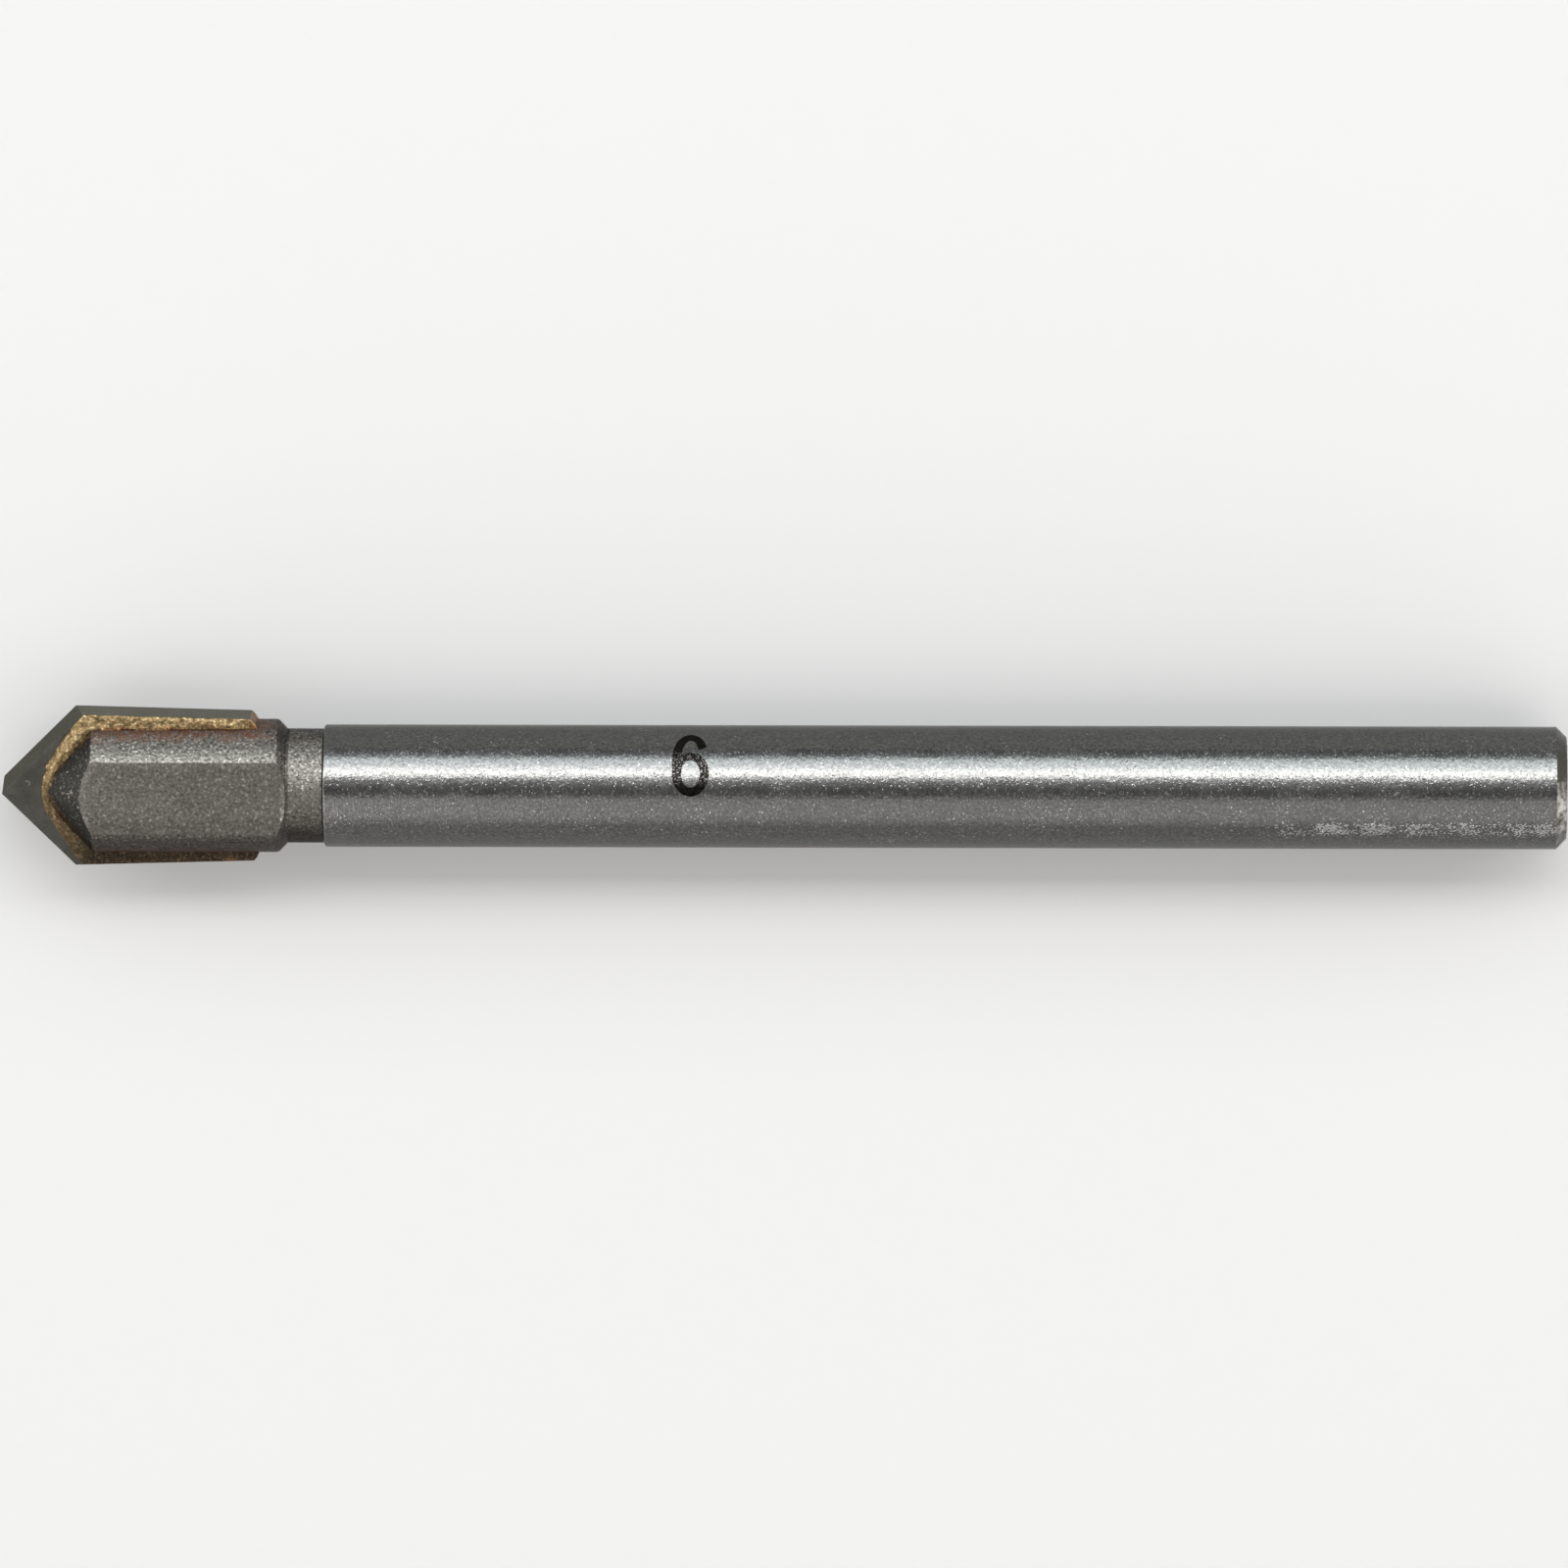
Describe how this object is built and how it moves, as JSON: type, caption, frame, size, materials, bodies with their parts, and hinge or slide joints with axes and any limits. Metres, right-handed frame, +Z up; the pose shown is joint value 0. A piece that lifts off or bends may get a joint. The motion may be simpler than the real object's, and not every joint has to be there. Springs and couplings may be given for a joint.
{
  "type": "glass and tile drill bit",
  "caption": "Spear-point drill bit for glass and tile: a carbide plate brazed into the slotted, flatted head of a straight round steel shank.",
  "frame": {"origin": "centre of the shank's end face, on the bit's axis", "axes": "+X along the bit's axis and out of the shank's end face, so the carbide point is towards -X; +Z up as the bit lies on a table with its plate level"},
  "size_m": [0.0605, 0.006, 0.0048],
  "materials": {
    "steel": "ground shank, blasted head and neck",
    "carbide": "dark grey sintered carbide, lips ground",
    "braze": "dull, grainy braze alloy"
  },
  "bodies": {
    "root": {"steel_shank": "steel", "carbide_tip": "carbide", "braze_joint": "braze"}
  },
  "joints": []
}
